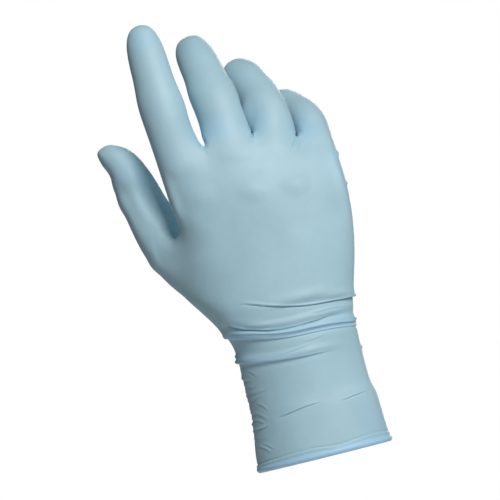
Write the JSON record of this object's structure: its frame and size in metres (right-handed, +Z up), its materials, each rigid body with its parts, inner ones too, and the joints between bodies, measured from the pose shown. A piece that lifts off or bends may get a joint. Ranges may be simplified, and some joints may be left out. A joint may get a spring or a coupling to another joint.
{
  "type": "nitrile exam glove",
  "caption": "Thin hollow rubber exam glove for a right hand, in its worn shape, with creased wrist and a rolled bead round the cuff's open mouth.",
  "frame": {"origin": "centre of the cuff's open mouth, in the plane of its rim", "axes": "+Z up the forearm to the fingertips, -Y the back of the hand, -X the thumb's side"},
  "size_m": [0.124, 0.096, 0.2453],
  "materials": {
    "nitrile_film": "satin"
  },
  "bodies": {
    "root": {"glove": "nitrile_film"}
  },
  "joints": []
}
